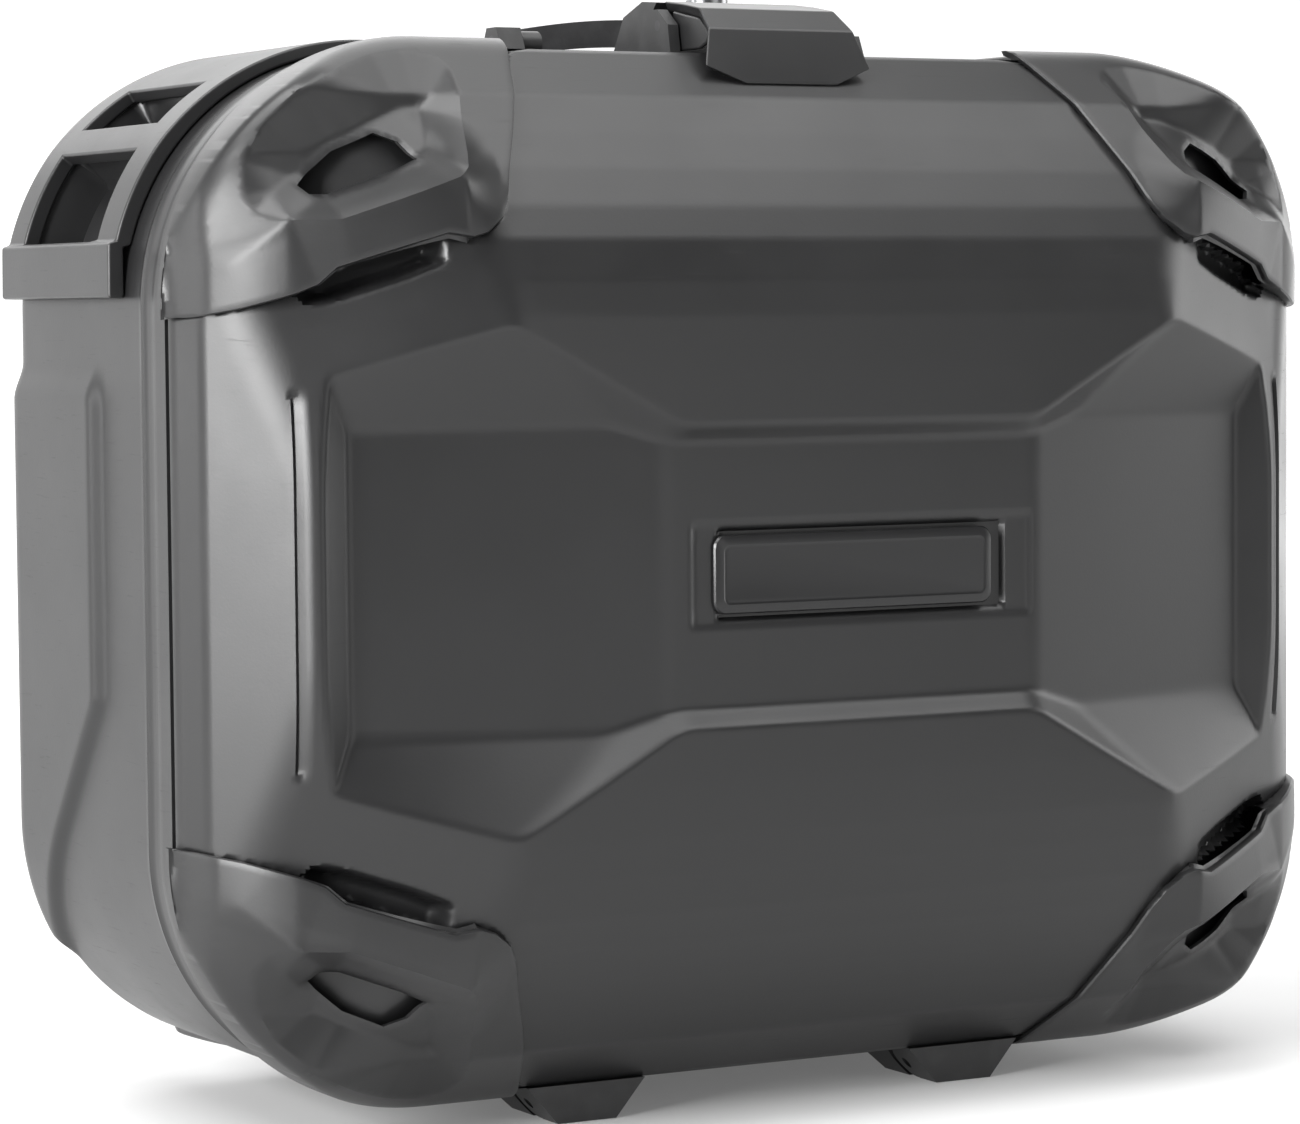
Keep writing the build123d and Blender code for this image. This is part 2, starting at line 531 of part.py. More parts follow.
with BuildPart() as shaft_bush:
    with BuildSketch(Plane.XZ.offset(-(BACK_Y - BASE_WALL - 2))):
        with Locations((0, MID_Z)):
            Circle(SHAFT_R + 3)
            Circle(SHAFT_R + RUN_CLEAR, mode=Mode.SUBTRACT)
    extrude(amount=-(BASE_WALL + 2 + PLATE_THICK))
    with BuildSketch(Plane.XZ.offset(-(BACK_Y - BASE_WALL - 2))):
        with Locations((0, MID_Z)):
            Circle(SHAFT_R + 7)
            Circle(SHAFT_R + RUN_CLEAR, mode=Mode.SUBTRACT)
    extrude(amount=-2)
save(shaft_bush.part, "shaft_bush")

for side, out in SIDES.items():
    with BuildPart() as carrier_hook:
        with BuildSketch(side_plane(out * HOOK_X - 11)):
            Polygon((BASE_DEPTH, HOOK_Z + 20), (BASE_DEPTH, HOOK_Z - 22), (BASE_DEPTH + 3, HOOK_Z - 22),
                    (BASE_DEPTH + 3, HOOK_Z + 3), (BASE_DEPTH + 9, HOOK_Z + 3), (BASE_DEPTH + 9, HOOK_Z - 10),
                    (BASE_DEPTH + HOOK_PROUD, HOOK_Z - 7), (BASE_DEPTH + HOOK_PROUD, HOOK_Z + 12),
                    (BASE_DEPTH + 6, HOOK_Z + 20), align=None)
        extrude(amount=22)
    save(carrier_hook.part, f"{side}_carrier_hook")

KNOB_R, KNOB_THICK = 24.0, 12.0
KNOB_FACE = BACK_Y - BASE_WALL - 2.4
with BuildPart() as carrier_knob:
    with BuildSketch(Plane.XZ.offset(-KNOB_FACE)):
        with Locations((0, MID_Z)):
            Circle(KNOB_R)
            with PolarLocations(KNOB_R + 3, 8):
                Circle(6, mode=Mode.SUBTRACT)
            Circle(SHAFT_R, mode=Mode.SUBTRACT)
    extrude(amount=KNOB_THICK)
save(carrier_knob.part, "carrier_knob")
with BuildPart() as claw_shaft:
    with BuildSketch(Plane.XZ.offset(-(KNOB_FACE - KNOB_THICK))):
        with Locations((0, MID_Z)):
            Circle(SHAFT_R)
    extrude(amount=-(KNOB_THICK + BASE_WALL + 2.4 + PLATE_THICK + 9))
save(claw_shaft.part, "claw_shaft")
with BuildPart() as carrier_claw:
    with BuildSketch(Plane.XZ.offset(-(BACK_Y + PLATE_THICK + 0.4))):
        with Locations((0, MID_Z)):
            SlotOverall(56, 17, rotation=90)
            Circle(SHAFT_R, mode=Mode.SUBTRACT)
    extrude(amount=-6)
save(carrier_claw.part, "carrier_claw")
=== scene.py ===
"""Hard motorcycle side case: the finished look, built over the CAD frame as a Blender add-on."""
import json
import math

import bpy
import numpy as np
from bpy.props import FloatProperty, FloatVectorProperty, IntProperty, PointerProperty
from mathutils import Matrix, Vector, geometry


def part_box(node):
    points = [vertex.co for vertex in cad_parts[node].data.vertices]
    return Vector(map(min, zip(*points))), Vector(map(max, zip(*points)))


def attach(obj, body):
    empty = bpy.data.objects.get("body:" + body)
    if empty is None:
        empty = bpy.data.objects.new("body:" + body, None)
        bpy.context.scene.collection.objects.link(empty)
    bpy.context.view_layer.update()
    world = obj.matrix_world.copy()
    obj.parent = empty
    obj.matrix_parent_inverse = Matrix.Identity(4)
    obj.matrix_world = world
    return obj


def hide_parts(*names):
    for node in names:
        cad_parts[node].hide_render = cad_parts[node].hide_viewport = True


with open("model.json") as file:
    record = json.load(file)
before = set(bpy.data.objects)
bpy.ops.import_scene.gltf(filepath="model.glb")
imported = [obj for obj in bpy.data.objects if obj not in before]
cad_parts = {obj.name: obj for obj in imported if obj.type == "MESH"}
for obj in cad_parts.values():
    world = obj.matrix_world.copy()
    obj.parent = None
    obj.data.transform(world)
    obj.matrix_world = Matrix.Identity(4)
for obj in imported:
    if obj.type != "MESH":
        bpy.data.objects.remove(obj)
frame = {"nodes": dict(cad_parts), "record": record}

bl_info = {
    "name": "Side Case",
    "version": (1, 0, 0),
    "blender": (4, 5, 0),
    "location": "View3D > Sidebar > Side Case",
    "description": "Builds the moulded shells, guards, fittings, finishes and studio of a hard side case",
    "category": "Add Mesh",
}

MM = 0.001
SEAM_Y = -42.75             # the plane where lid and base meet
MID_Z = 200.7               # mid-height of the shells
HALF_WIDTH = 235.0
HALF_HEIGHT = 186.7
CORNER_R = 92.0
BASE_DEPTH = 148.0
BACK_ROUND = 7.0            # rounding where the base's sides meet its back
BASE_WALL = 4.0
STRAIGHT = (HALF_WIDTH - CORNER_R, HALF_HEIGHT - CORNER_R)      # where the straight sides end

# the lid's recessed middle: depth of its face, and where the side panels fold back from it
PANEL_DEPTH = 69.0
PANEL_FOLD = 77.0
PANEL_SLOPE = 0.2419
WAIST = 54.0                # half-height of the recess across the middle
WAIST_END = 74.0            # where the recess starts to widen
WIDENING = (0.597, 0.8586)  # its rise per millimetre, and the cosine of that angle
FLAP_FOLD = 80.0
FLAP_FOOT = 55.0
CREST = (136.0, 91.0, 75.0)     # start of the flap's crest: along the case, up, and deep
CREST_FALL = (0.3236, 0.4753)   # its drop in height and in depth per millimetre along
LIP = (187.5, 43.0, 0.52)       # end lip: start along the case, depth there, rise per millimetre
LIP_GROOVE = (202.6, 3.4, 207.2, 1.2)   # inner edge and its run, outer edge and its run
GROOVE_END = 68.0
GROOVE_DEPTH = 1.8
RECESS_RIM = 76.3

# the badge's shallow pocket, and the gap round its plate: half-length, half-height, depth, run of the edge
BADGE_X = 4.5
BADGE_POCKETS = ((71.5, 19.0, 1.2, 1.5), (60.4, 16.4, 2.2, 1.2))

# lid profiles: distance from the middle, depth in front of the seam
HEIGHT_CURVE = ((0, 76.5), (54, 76.5), (72, 75.8), (91, 74.3), (104, 71.8), (118, 67.3), (130, 61.0),
                (143.3, 52.6), (156, 43.6), (169.3, 33.5), (186.7, 11.0), (200, -6.0))
LENGTH_CURVE = ((0, 76.5), (74, 76.5), (136, 75.0), (199, 49.0), (205.5, 45.0), (229.5, 18.0), (235, 4.0),
                (250, -10.0))

# slanting facet at each corner: depth at a point, the point along and up, and the fall per millimetre
CORNER_FACET = (49.0, 190.7, 73.3, 0.5336, 0.18)

# corner guard outlines in one quadrant: distance from the middle along the case, then up
GUARD_INNER = ((107.6, 190.7), (109.0, 187.0), (117.8, 169.3), (123.4, 156.4), (129.6, 143.3), (134.0, 131.5),
               (137.5, 125.5), (144.5, 120.2), (150.0, 118.6), (158.4, 120.0), (172.0, 115.6), (184.9, 111.3),
               (193.0, 108.5), (198.6, 102.8), (205.0, 100.0), (222.0, 94.5), (232.0, 92.3), (239.0, 91.5))
SCOOP = ((138.0, 179.0), (140.0, 169.0), (143.5, 157.0), (146.6, 147.5), (149.0, 142.8), (154.0, 139.4),
         (173.4, 132.0), (192.0, 125.2), (207.6, 125.0), (216.0, 127.7), (218.3, 134.5), (216.6, 145.8),
         (209.6, 158.4), (198.2, 169.7), (180.0, 178.1), (165.2, 183.2), (152.8, 185.0), (142.0, 183.3))
SCOOP_WALL = SCOOP[:9]
SLOT = ((199.8, 137.1), (186.3, 148.9), (171.8, 155.2), (165.0, 152.0), (161.6, 145.8), (170.0, 141.8),
        (190.8, 133.9), (197.0, 134.0))
BAR_EDGE = ((154.0, 139.4), (173.4, 132.0), (192.0, 125.2), (207.6, 125.0), (224.0, 110.0))
BAR_LINE = (152.0, 140.0, 0.36)         # a point on its crest, along and up, and the crest's fall
BAR_REACH = (24.0, 20.0)                # how far it blends out above the crest, and how much more below
BAR_ENDS = ((134.0, 18.0), (242.0, 34.0))       # where it starts and ends, each with its run
WALL_SLOPE = 1.05                       # slopes of the scoop's straight walls and of its rounded side
ARC_SLOPE = 0.55
STRAP_GAP = (151.0, 203.0)              # stretch of the guard's edge left open for a strap
BAR_TOP = 121.0
GUARD_MIDDLE = (150.0, 110.0)
SKIN = 2.6                  # thickness of a guard's face
SKIRT = 2.0                 # thickness of its side walls
RIM_FOOT = 1.2              # depth at which its outer wall ends
STRAP_POCKET = ((157.0, 110.5), (158.0, 121.5), (161.0, 121.8), (198.6, 107.0), (204.5, 101.5), (200.5, 96.5),
                (191.0, 97.5), (168.0, 105.5))

# windows of the base guards: heights, and distance behind the seam
WINDOW_ROWS = ((117.0, 150.5), (157.0, 172.0))
WINDOW_ALONG = (57.0, 130.0)

# the pockets in the base's wall behind them, a little wider
POCKET_ROWS = ((116.0, 151.5), (156.0, 173.5))
POCKET_ALONG = (55.0, 131.0)
POCKET_DEPTH = 15.0


def smooth_min(a, b, k):
    """Lower of two height fields with a rounded crease of width k."""
    h = np.clip(0.5 + 0.5 * (b - a) / k, 0, 1)
    return b * (1 - h) + a * h - k * h * (1 - h)


def smooth_max(a, b, k):
    """Higher of two height fields with a rounded crease of width k."""
    return -smooth_min(-a, -b, k)


def ramp(x):
    """Value held between 0 and 1."""
    return np.clip(x, 0, 1)


def curve(points, x):
    """Height of a profile at x."""
    table = np.array(points, float)
    return np.interp(x, table[:, 0], table[:, 1])


def outer_form(a, b, k):
    """Depth of the lid's convex outer form at distances a along and b up from the middle."""
    depth, along, up, fall_along, fall_up = CORNER_FACET
    slant = depth - fall_along * (a - along) - fall_up * (b - up)
    faces = smooth_min(curve(HEIGHT_CURVE, b), curve(LENGTH_CURVE, a), k)
    return smooth_min(faces, slant, max(k, 5.0))


def lid_form(a, b):
    """Depth of the lid's face with its recessed middle, side panels and end lips."""
    panel = smooth_min(PANEL_DEPTH + 0 * a, PANEL_DEPTH - PANEL_SLOPE * (a - PANEL_FOLD), 1.0)
    crest_height = CREST[1] - (a - CREST[0]) * CREST_FALL[0]
    crest_depth = CREST[2] - (a - CREST[0]) * CREST_FALL[1]
    flat = np.minimum(PANEL_DEPTH, PANEL_DEPTH - PANEL_SLOPE * (a - FLAP_FOLD))
    flap = flat + (crest_depth - flat) * ((b - FLAP_FOOT) / np.maximum(crest_height - FLAP_FOOT, 6))
    panel = smooth_max(panel, flap, 1.2)
    panel = smooth_max(panel, LIP[1] + LIP[2] * (a - LIP[0]), 0.8)
    over = b - WAIST
    step = smooth_max(-over, -(over - (a - WAIST_END) * WIDENING[0]) * WIDENING[1], 3.0)
    recess = smooth_max(panel, RECESS_RIM - step, 1.2)
    inner, inner_run, outer, outer_run = LIP_GROOVE
    groove = ramp(np.minimum((outer - a) / outer_run, (a - inner) / inner_run)) * ramp((GROOVE_END - b) / 5)
    return smooth_min(outer_form(a, b, 2.0), recess, 0.8) - GROOVE_DEPTH * groove


def edge_distance(points, line, closed=True):
    """Distance of each point from a polyline, as an array."""
    p = np.asarray(points, float)
    q = np.asarray(line, float)
    ends = np.roll(q, -1, axis=0) if closed else q[1:]
    starts = q if closed else q[:-1]
    best = np.full(len(p), 1e9)
    for s, e in zip(starts, ends):
        d = e - s
        t = np.clip(((p - s) @ d) / max(d @ d, 1e-9), 0, 1)
        best = np.minimum(best, np.hypot(*(p - s - t[:, None] * d).T))
    return best


def inside(points, line):
    """True for each point within a closed polygon."""
    p = np.asarray(points, float)
    q = np.asarray(line, float)
    odd = np.zeros(len(p), bool)
    for (x0, y0), (x1, y1) in zip(q, np.roll(q, -1, axis=0)):
        if y0 != y1:
            crosses = (y0 > p[:, 1]) != (y1 > p[:, 1])
            odd ^= crosses & (p[:, 0] < (x1 - x0) * (p[:, 1] - y0) / (y1 - y0) + x0)
    return odd


def depth_within(flat, line):
    """How far each point lies within a corner outline of one quadrant, and 0 outside it."""
    corner = (flat[:, 0] > 100) & (flat[:, 1] > 85)
    reach = np.zeros(len(flat))
    reach[corner] = np.where(inside(flat[corner], line), edge_distance(flat[corner], line), 0)
    return reach


def resample(line, step):
    """Points along a closed polyline about step apart, corners kept."""
    out = []
    for s, e in zip(line, line[1:] + line[:1]):
        count = max(1, round(math.dist(s, e) / step))
        out += [(s[0] + (e[0] - s[0]) * i / count, s[1] + (e[1] - s[1]) * i / count) for i in range(count)]
    return out


def spaced(stops, step):
    """Values that hit every stop, about step apart."""
    out = []
    for s, e in zip(stops, stops[1:]):
        count = max(1, round((e - s) / step))
        out += [s + (e - s) * i / count for i in range(count)]
    return np.array(out + [stops[-1]])


def mirrored(stops, step):
    """Values on both sides of zero that hit every stop, about step apart."""
    return spaced((*[-x for x in stops[:0:-1]], *stops), step)


def to_frame(x, depth, z):
    """Frame points in metres from x, depth in front of the seam and height from the middle."""
    return np.stack([x * MM, (SEAM_Y - depth) * MM, (MID_Z + z) * MM], axis=-1)


def add_piece(name, verts, faces, body, slot, nodes, sharp):
    """Mesh object that rides on a body, takes its slot's finish and stands for CAD nodes."""
    mesh = bpy.data.meshes.new(name)
    mesh.from_pydata([tuple(v) for v in verts], [], [tuple(int(i) for i in f) for f in faces])
    mesh.validate()
    mesh.shade_smooth()
    mesh.set_sharp_from_angle(angle=math.radians(sharp))
    mesh.materials.append(finish_for(slot))
    piece = bpy.data.objects.new(name, mesh)
    bpy.context.scene.collection.objects.link(piece)
    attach(piece, body)
    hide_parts(*nodes)
    return piece


def strip(first, second):
    """Quads between two closed vertex loops of the same length."""
    count = len(first)
    return [(first[i], first[(i + 1) % count], second[(i + 1) % count], second[i]) for i in range(count)]


def grid_faces(rows, cols, base=0, flip=False):
    """Quads of a rows by cols grid of vertices."""
    faces = []
    for j in range(rows - 1):
        for i in range(cols - 1):
            a = base + j * cols + i
            face = (a, a + 1, a + cols + 1, a + cols)
            faces.append(face[::-1] if flip else face)
    return faces


def rim_loop(rows, cols, base=0):
    """Vertex indices round the edge of a grid, anticlockwise from its low corner."""
    loop = list(range(cols))
    loop += [j * cols + cols - 1 for j in range(1, rows)]
    loop += [(rows - 1) * cols + i for i in range(cols - 2, -1, -1)]
    loop += [j * cols for j in range(rows - 2, 0, -1)]
    return [base + i for i in loop]


def half_width(z, inset):
    """Half of the shell's length at a height, following the rounded corners."""
    radius = CORNER_R - inset
    over = np.clip(np.abs(z) - STRAIGHT[1], 0, radius)
    return STRAIGHT[0] + np.sqrt(np.maximum(radius ** 2 - over ** 2, 0))


def rounded_rect(half_x, half_z, radius, step=6):
    """Anticlockwise outline of a rounded rectangle with step segments in each corner."""
    out = []
    for cx, cz, start in ((1, 1, 0), (-1, 1, 90), (-1, -1, 180), (1, -1, 270)):
        for i in range(step + 1):
            t = math.radians(start + 90 * i / step)
            out.append((cx * (half_x - radius) + radius * math.cos(t),
                        cz * (half_z - radius) + radius * math.sin(t)))
    return out


def loft(rings):
    """Vertices and faces through rings of equal point counts, capped at both ends."""
    verts = [p for ring in rings for p in ring]
    n = len(rings[0])
    faces = []
    for k in range(len(rings) - 1):
        faces += strip([k * n + i for i in range(n)], [(k + 1) * n + i for i in range(n)])
    faces.append(tuple(range(n))[::-1])
    faces.append(tuple((len(rings) - 1) * n + i for i in range(n)))
    return verts, faces


# ---- finishes ----

def node(tree, kind, place, **values):
    """Shader node with its properties and input constants set."""
    made = tree.nodes.new(kind)
    made.location = place
    for key, value in values.items():
        if key in made.inputs:
            made.inputs[key].default_value = value
        else:
            setattr(made, key, value)
    return made


def ramp_between(tree, place, low, high, out_low, out_high):
    """Map Range node with its constants set."""
    made = node(tree, "ShaderNodeMapRange", place)
    for index, value in enumerate((low, high, out_low, out_high), start=1):
        made.inputs[index].default_value = value
    return made


def finish(name, tone, rough, grain_mm, relief_um, scratch, metallic=0.0, brushed=None):
    """Procedural finish: moulded grain, cloudy tone, worn edges and fine scuffs at their real sizes."""
    made = bpy.data.materials.new(name)
    made.use_nodes = True
    tree = made.node_tree
    shader = tree.nodes["Principled BSDF"]
    shader.inputs["Metallic"].default_value = metallic
    place = node(tree, "ShaderNodeTexCoord", (-1500, 0))
    link = tree.links.new

    grain = node(tree, "ShaderNodeTexNoise", (-1100, -420), Scale=1000.0 / grain_mm, Detail=2.0)
    if brushed:
        stretch = node(tree, "ShaderNodeMapping", (-1300, -420), Scale=brushed)
        link(place.outputs["Object"], stretch.inputs["Vector"])
        link(stretch.outputs["Vector"], grain.inputs["Vector"])
    else:
        link(place.outputs["Object"], grain.inputs["Vector"])
    cells = node(tree, "ShaderNodeTexVoronoi", (-1100, -700), Scale=700.0 / grain_mm)
    link(place.outputs["Object"], cells.inputs["Vector"])
    relief = node(tree, "ShaderNodeMath", (-850, -520), operation="MULTIPLY_ADD")
    link(cells.outputs["Distance"], relief.inputs[0])
    relief.inputs[1].default_value = 0.45
    link(grain.outputs["Fac"], relief.inputs[2])
    bump = node(tree, "ShaderNodeBump", (-500, -520), Strength=0.6, Distance=relief_um * 1e-6)
    link(relief.outputs[0], bump.inputs["Height"])

    cloud = node(tree, "ShaderNodeTexNoise", (-1100, 160), Scale=14.0, Detail=4.0, Roughness=0.6)
    link(place.outputs["Object"], cloud.inputs["Vector"])
    shade = ramp_between(tree, (-850, 160), 0.3, 0.7, 0.93, 1.07)
    link(cloud.outputs["Fac"], shade.inputs[0])

    pointed = node(tree, "ShaderNodeNewGeometry", (-1300, 480))
    edge = ramp_between(tree, (-1100, 480), 0.52, 0.62, 0.0, 1.0)
    link(pointed.outputs["Pointiness"], edge.inputs[0])
    rubbed = node(tree, "ShaderNodeTexNoise", (-1300, 300), Scale=110.0, Detail=3.0)
    link(place.outputs["Object"], rubbed.inputs["Vector"])
    patch = ramp_between(tree, (-1100, 300), 0.45, 0.65, 0.2, 1.0)
    link(rubbed.outputs["Fac"], patch.inputs[0])
    worn = node(tree, "ShaderNodeMath", (-850, 400), operation="MULTIPLY")
    link(edge.outputs[0], worn.inputs[0])
    link(patch.outputs[0], worn.inputs[1])

    base = node(tree, "ShaderNodeMix", (-550, 260), data_type="RGBA", blend_type="MULTIPLY")
    base.inputs[0].default_value = 1.0
    base.inputs[6].default_value = (*tone, 1.0)
    link(shade.outputs[0], base.inputs[7])
    lifted = node(tree, "ShaderNodeMix", (-300, 260), data_type="RGBA")
    amount = node(tree, "ShaderNodeMath", (-550, 460), operation="MULTIPLY")
    link(worn.outputs[0], amount.inputs[0])
    amount.inputs[1].default_value = 0.5
    link(amount.outputs[0], lifted.inputs[0])
    link(base.outputs[2], lifted.inputs[6])
    lifted.inputs[7].default_value = (*[min(1.0, c * 1.9 + 0.01) for c in tone], 1.0)
    link(lifted.outputs[2], shader.inputs["Base Color"])

    lines = node(tree, "ShaderNodeTexNoise", (-1100, -80), Scale=1.0, Detail=3.0, Roughness=0.75)
    slant = node(tree, "ShaderNodeMapping", (-1300, -80), Scale=(35.0, 60.0, 900.0), Rotation=(0.3, 0.5, 0.2))
    link(place.outputs["Object"], slant.inputs["Vector"])
    link(slant.outputs["Vector"], lines.inputs["Vector"])
    scuffs = ramp_between(tree, (-850, -80), 0.62, 0.74, 0.0, scratch)
    link(lines.outputs["Fac"], scuffs.inputs[0])
    polish = ramp_between(tree, (-850, -280), 0.3, 0.7, rough - 0.035, rough + 0.035)
    link(cloud.outputs["Fac"], polish.inputs[0])
    total = node(tree, "ShaderNodeMath", (-500, -160), operation="ADD")
    link(polish.outputs[0], total.inputs[0])
    link(scuffs.outputs[0], total.inputs[1])
    link(total.outputs[0], shader.inputs["Roughness"])
    link(bump.outputs["Normal"], shader.inputs["Normal"])
    return made


FINISHES = {
    "shell_plastic": dict(tone=(0.010, 0.010, 0.0104), rough=0.36, grain_mm=0.8, relief_um=24, scratch=0.10),
    "guard_plastic": dict(tone=(0.012, 0.012, 0.0124), rough=0.37, grain_mm=0.9, relief_um=26, scratch=0.08),
    "fitting_plastic": dict(tone=(0.011, 0.011, 0.0114), rough=0.46, grain_mm=1.0, relief_um=30,
                            scratch=0.10),
    "lever_plastic": dict(tone=(0.010, 0.010, 0.0104), rough=0.36, grain_mm=0.7, relief_um=18, scratch=0.08),
    "grip_rubber": dict(tone=(0.016, 0.016, 0.017), rough=0.66, grain_mm=1.2, relief_um=60, scratch=0.05),
    "seal_rubber": dict(tone=(0.010, 0.010, 0.010), rough=0.75, grain_mm=1.0, relief_um=30, scratch=0.0),
    "badge_plastic": dict(tone=(0.006, 0.006, 0.0065), rough=0.30, grain_mm=0.6, relief_um=8, scratch=0.06),
    "plain_steel": dict(tone=(0.07, 0.07, 0.072), rough=0.38, grain_mm=0.5, relief_um=10, metallic=1.0,
                        scratch=0.12, brushed=(1.0, 0.12, 0.12)),
    "lock_metal": dict(tone=(0.26, 0.26, 0.27), rough=0.26, grain_mm=0.5, relief_um=6, metallic=1.0,
                       scratch=0.12, brushed=(0.15, 0.15, 1.0)),
    "coated_steel": dict(tone=(0.016, 0.016, 0.017), rough=0.46, grain_mm=1.4, relief_um=34, scratch=0.10),
}


def finish_for(slot):
    """The shared material of one slot, made on first use."""
    return bpy.data.materials.get(f"finish_{slot}") or finish(f"finish_{slot}", **FINISHES[slot])


# ---- settings ----

class CaseShellSettings(bpy.types.PropertyGroup):
    """Sizes of the moulded shells."""
    wall: FloatProperty(name="Wall", description="Thickness of the lid's wall", default=0.0035, unit="LENGTH")
    mesh_step: FloatProperty(name="Mesh step", description="Spacing of the relief mesh", default=0.0014,
                             unit="LENGTH")
    sink: FloatProperty(name="Sink", description="How far the lid drops under its guards", default=0.014,
                        unit="LENGTH")
    strap_depth: FloatProperty(name="Strap recess", description="Depth of the recess under a lashing bar",
                               default=0.010, unit="LENGTH")


class CaseGuardSettings(bpy.types.PropertyGroup):
    """Sizes of the corner guards."""
    proud: FloatProperty(name="Proud", description="Height of a guard above the shell", default=0.0035,
                         unit="LENGTH")
    bar_lift: FloatProperty(name="Bar lift", description="Extra height of the lashing bar", default=0.010,
                            unit="LENGTH")
    scoop: FloatProperty(name="Scoop", description="Depth of the scoop at its wall", default=0.011,
                         unit="LENGTH")
    mesh_step: FloatProperty(name="Mesh step", description="Spacing of the relief mesh", default=0.0015,
                             unit="LENGTH")


class CaseStageSettings(bpy.types.PropertyGroup):
    """Studio floor, lamps and camera."""
    lens: FloatProperty(name="Lens", description="Focal length in millimetres, 36 mm sensor", default=120.2)
    world: FloatProperty(name="Surround", description="Brightness of the even surround", default=0.18)
    glow: FloatProperty(name="Paper glow", description="Light that the far paper gives off", default=0.75)
    ground: FloatVectorProperty(name="Ground", description="Colour of the floor", default=(0.58, 0.58, 0.58),
                                subtype="COLOR")
    sweep_steps: IntProperty(name="Sweep steps", description="Segments in the curve behind the floor",
                             default=24)


# ---- pieces ----

class SIDECASE_OT_lid(bpy.types.Operator):
    """Build the lid's moulded relief, its walls and its inside"""
    bl_idname = "sidecase.lid"
    bl_label = "Lid shell"

    def execute(self, context):
        made = context.scene.sidecase_shell
        step, wall, sink = made.mesh_step / MM, made.wall / MM, made.sink / MM
        heights = mirrored((0, 47, 54, 94.7, 143.3, 169.3, HALF_HEIGHT), step)
        across = mirrored((0, 72, 80, 143, 187.5, 199, 202.6, 206, 207.2, HALF_WIDTH), step)
        guard = guard_outline()

        def surface(inset, least):
            """x, depth and height of every grid point on the lid's skin, inset from its outside."""
            z = heights * (HALF_HEIGHT - inset) / HALF_HEIGHT
            zz = np.repeat(z[:, None], len(across), axis=1).ravel()
            xx = (across[None, :] / HALF_WIDTH * half_width(z, inset)[:, None]).ravel()
            a, b = np.abs(xx), np.abs(zz)
            flat = np.stack([a, b], axis=1)
            under_guard = sink * ramp((depth_within(flat, guard) - 0.4) / 2.2)
            strap = made.strap_depth / MM * ramp(depth_within(flat, STRAP_POCKET) / 2.4)
            depth = lid_form(a, b) - under_guard - inset
            depth -= np.maximum(strap - under_guard, 0)
            off_x = np.abs(xx - BADGE_X)
            for half_x, half_z, deep, run in BADGE_POCKETS:
                depth -= deep * ramp((half_x - off_x) / run) * ramp((half_z - b) / run)
            return xx, np.maximum(depth, least), zz

        rows, cols = len(heights), len(across)
        outer = to_frame(*surface(0.0, least=2.5))
        inner = to_frame(*surface(wall, least=1.0))
        count = rows * cols
        loop_out = rim_loop(rows, cols)
        loop_in = rim_loop(rows, cols, count)
        verts = np.concatenate([outer, inner])
        rim_out, rim_in = verts[loop_out].copy(), verts[loop_in].copy()
        rim_out[:, 1] = rim_in[:, 1] = (SEAM_Y - 1.0) * MM
        verts = np.concatenate([verts, rim_out, rim_in])
        n = len(loop_out)
        low_out = [2 * count + i for i in range(n)]
        low_in = [2 * count + n + i for i in range(n)]
        faces = grid_faces(rows, cols) + grid_faces(rows, cols, count, flip=True)
        faces += strip(low_out, loop_out) + strip(low_in, low_out) + strip(loop_in, low_in)
        add_piece("lid_shell_relief", verts, faces, "lid", "shell_plastic", ("lid_shell",), sharp=50)
        return {"FINISHED"}


def guard_rim():
    """Outer edge of a corner guard in one quadrant, proud of the shell's rim."""
    radius = CORNER_R + 4.0
    arc = [(STRAIGHT[0] + radius * math.cos(t), STRAIGHT[1] + radius * math.sin(t))
           for t in (math.pi / 2 * i / 40 for i in range(41))]
    return [GUARD_INNER[-1], *arc, GUARD_INNER[0]]


def guard_outline():
    """Closed outline of a corner guard in one quadrant, anticlockwise."""
    return [*GUARD_INNER, *guard_rim()[1:-1]]


def edge_round(distance, radius):
    """How far a quarter-round edge drops at a distance from the edge."""
    left = radius - np.clip(distance, 0, radius)
    return radius - np.sqrt(np.maximum(radius ** 2 - left ** 2, 0))


def guard_depth(flat, proud, lift, scoop):
    """Depth of a guard's face at points of one quadrant: skin, lashing bar, scoop and rounded edges."""
    a, b = flat[:, 0], flat[:, 1]
    depth = outer_form(a, b, 12.0) + proud
    along, up, fall = BAR_LINE
    above = b - (up - fall * (a - along))
    reach = BAR_REACH[0] + BAR_REACH[1] * ramp(0.5 - above / 8)
    (start, start_run), (end, end_run) = BAR_ENDS
    ends = ramp((a - start) / start_run) * ramp((end - a) / end_run)
    depth += lift * ramp(1 - edge_distance(flat, BAR_EDGE, closed=False) / reach) * ends
    wall = edge_distance(flat, SCOOP_WALL, closed=False)
    arc = edge_distance(flat, SCOOP[8:] + SCOOP[:1], closed=False)
    cut = smooth_min(smooth_min(wall * WALL_SLOPE, arc * ARC_SLOPE, 0.6), scoop + 0 * a, 1.0)
    depth -= np.where(inside(flat, SCOOP), np.maximum(cut, 0), 0)
    depth -= 0.8 * edge_round(edge_distance(flat, guard_rim(), closed=False), 6.0)
    depth -= edge_round(edge_distance(flat, GUARD_INNER, closed=False), 1.3)
    return np.maximum(depth, 4.0)


